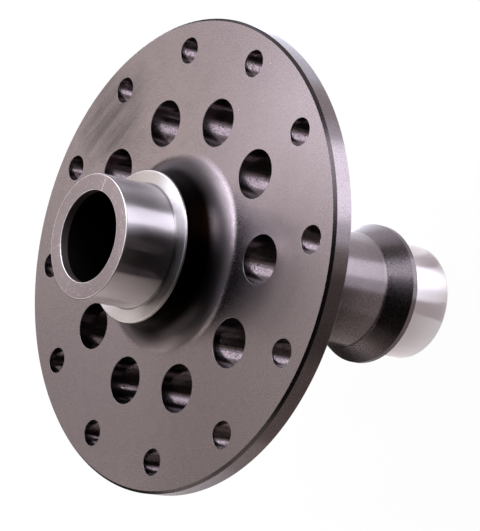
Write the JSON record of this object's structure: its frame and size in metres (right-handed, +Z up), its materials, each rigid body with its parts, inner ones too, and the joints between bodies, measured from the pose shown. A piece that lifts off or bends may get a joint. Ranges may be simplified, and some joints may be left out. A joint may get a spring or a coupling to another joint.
{
  "type": "differential spool",
  "caption": "Turned steel differential spool: drilled ring gear flange, ground bearing journals and a splined bore that locks the axle shafts together.",
  "frame": {"origin": "on the axle line, in the rear face of the flange where the ring gear seats", "axes": "+Z up the axle line and out of the short end; +X through one bolt hole and one lightening hole; the part stands on the end face of its long side"},
  "size_m": [0.1744, 0.1744, 0.1586],
  "materials": {
    "blackened_steel": "satin black oxide on turned steel, with ground bearing journals and bright end faces"
  },
  "bodies": {
    "root": {"spool": "blackened_steel"}
  },
  "joints": []
}
